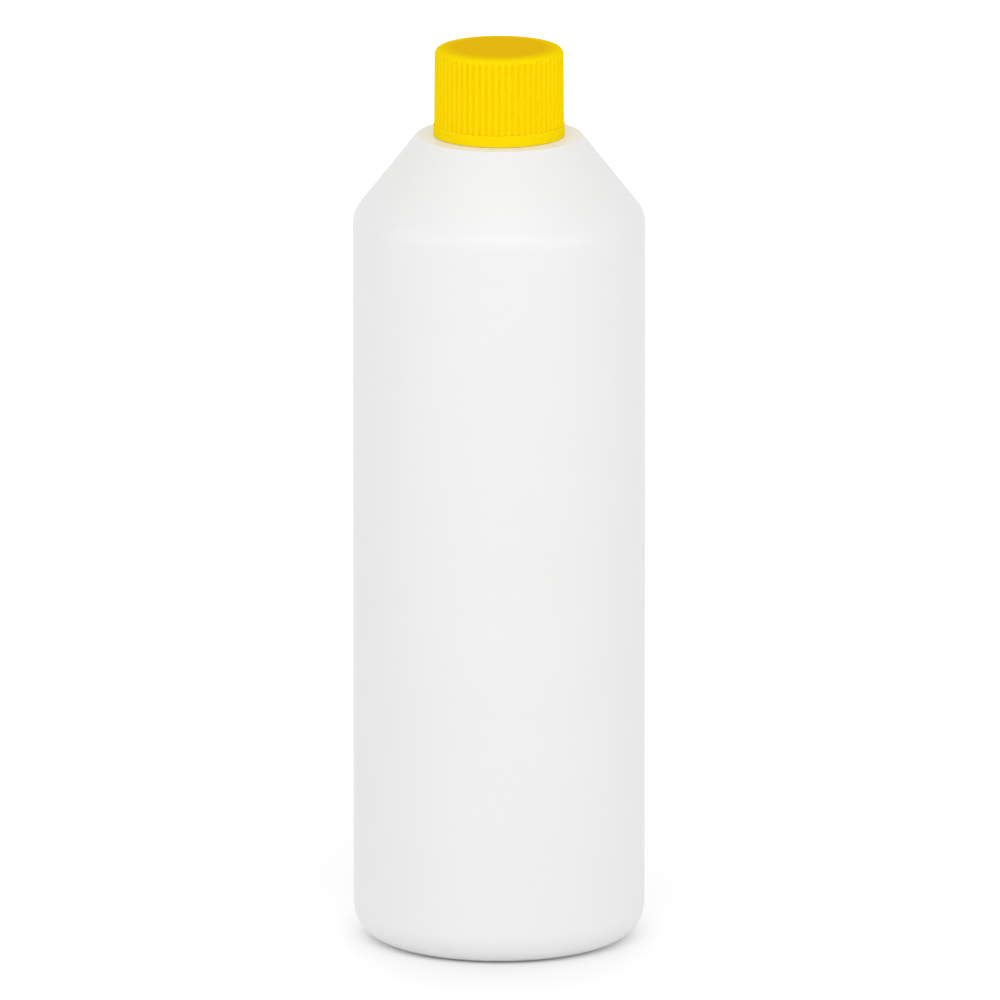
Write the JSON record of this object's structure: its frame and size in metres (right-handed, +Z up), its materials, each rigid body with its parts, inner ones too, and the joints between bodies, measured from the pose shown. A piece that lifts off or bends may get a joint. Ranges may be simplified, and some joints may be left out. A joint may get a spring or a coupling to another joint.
{
  "type": "pharmacy bottle",
  "caption": "Round blow-moulded bottle with conical shoulder and ribbed tamper-evident screw cap, for liquid medicines and lotions.",
  "frame": {"origin": "centre of the ring the bottle stands on, in the plane of that ring", "axes": "+Z up along the bottle's axis, +X to the viewer's right, +Y away from the viewer"},
  "size_m": [0.065, 0.065, 0.2023],
  "materials": {
    "bottle_hdpe": "satin",
    "cap_pp": "satin",
    "band_pp": "satin",
    "liner_foam": "matte"
  },
  "bodies": {
    "bottle_body": {"bottle": "bottle_hdpe", "tamper_band": "band_pp"},
    "liner_body": {"cap_liner": "liner_foam"},
    "cap_body": {"screw_cap": "cap_pp"}
  },
  "joints": [
    {"name": "cap_rise", "type": "slide", "parent": "bottle_body", "child": "liner_body", "axis": [0, 0, 1], "range_m": [0, 0.0246]},
    {"name": "cap_turn", "type": "hinge", "parent": "liner_body", "child": "cap_body", "pos_m": [0, 0, 0.19], "axis": [0, 0, 1], "range_deg": [0, 2520]}
  ],
  "couplings": [
    {"joint": "cap_rise", "follows": "cap_turn", "m_per_rad": 0.00055704}
  ]
}
